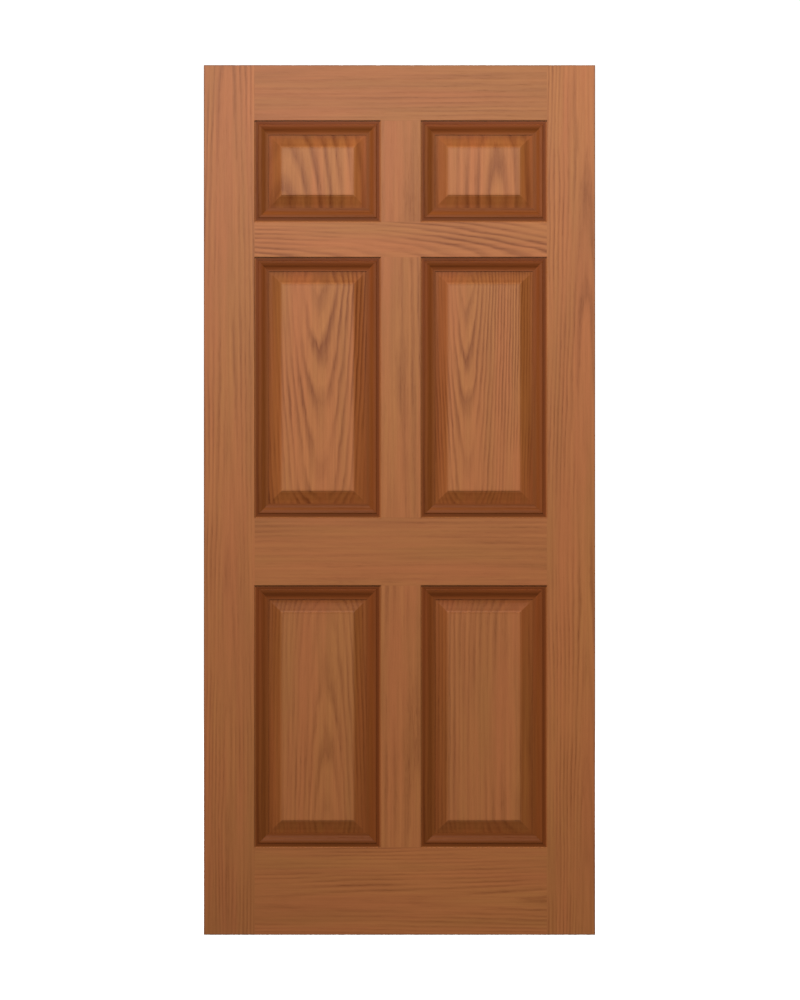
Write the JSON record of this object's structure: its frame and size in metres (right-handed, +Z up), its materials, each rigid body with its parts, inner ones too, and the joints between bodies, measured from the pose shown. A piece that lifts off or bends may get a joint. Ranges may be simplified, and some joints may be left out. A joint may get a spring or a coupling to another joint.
{
  "type": "panelled front door",
  "caption": "Panelled oak front door slab: stiles, rails and mullions hold raised panels framed by planted mouldings on both faces.",
  "frame": {"origin": "middle of the slab's bottom edge, halfway through its thickness", "axes": "+Z up along the stiles, -Y out of the front (outer) face, +X towards the lock stile, to the right as seen from the front"},
  "size_m": [0.9144, 0.0444, 2.032],
  "materials": {
    "oak_stile": "satin",
    "oak_rail": "satin",
    "oak_panel": "satin",
    "oak_moulding": "satin",
    "beech_dowel": "matte"
  },
  "bodies": {
    "root": {"hinge_stile": "oak_stile", "lock_stile": "oak_stile", "bottom_rail": "oak_rail", "lock_rail": "oak_rail", "frieze_rail": "oak_rail", "top_rail": "oak_rail", "bottom_mullion": "oak_stile", "middle_mullion": "oak_stile", "top_mullion": "oak_stile", "bottom_left_panel": "oak_panel", "bottom_right_panel": "oak_panel", "middle_left_panel": "oak_panel", "middle_right_panel": "oak_panel", "top_left_panel": "oak_panel", "top_right_panel": "oak_panel", "bottom_left_front_moulding": "oak_moulding", "bottom_left_back_moulding": "oak_moulding", "bottom_right_front_moulding": "oak_moulding", "bottom_right_back_moulding": "oak_moulding", "middle_left_front_moulding": "oak_moulding", "middle_left_back_moulding": "oak_moulding", "middle_right_front_moulding": "oak_moulding", "middle_right_back_moulding": "oak_moulding", "top_left_front_moulding": "oak_moulding", "top_left_back_moulding": "oak_moulding", "top_right_front_moulding": "oak_moulding", "top_right_back_moulding": "oak_moulding", "bottom_rail_dowels": "beech_dowel", "lock_rail_dowels": "beech_dowel", "frieze_rail_dowels": "beech_dowel", "top_rail_dowels": "beech_dowel", "bottom_mullion_dowels": "beech_dowel", "middle_mullion_dowels": "beech_dowel", "top_mullion_dowels": "beech_dowel"}
  },
  "joints": []
}
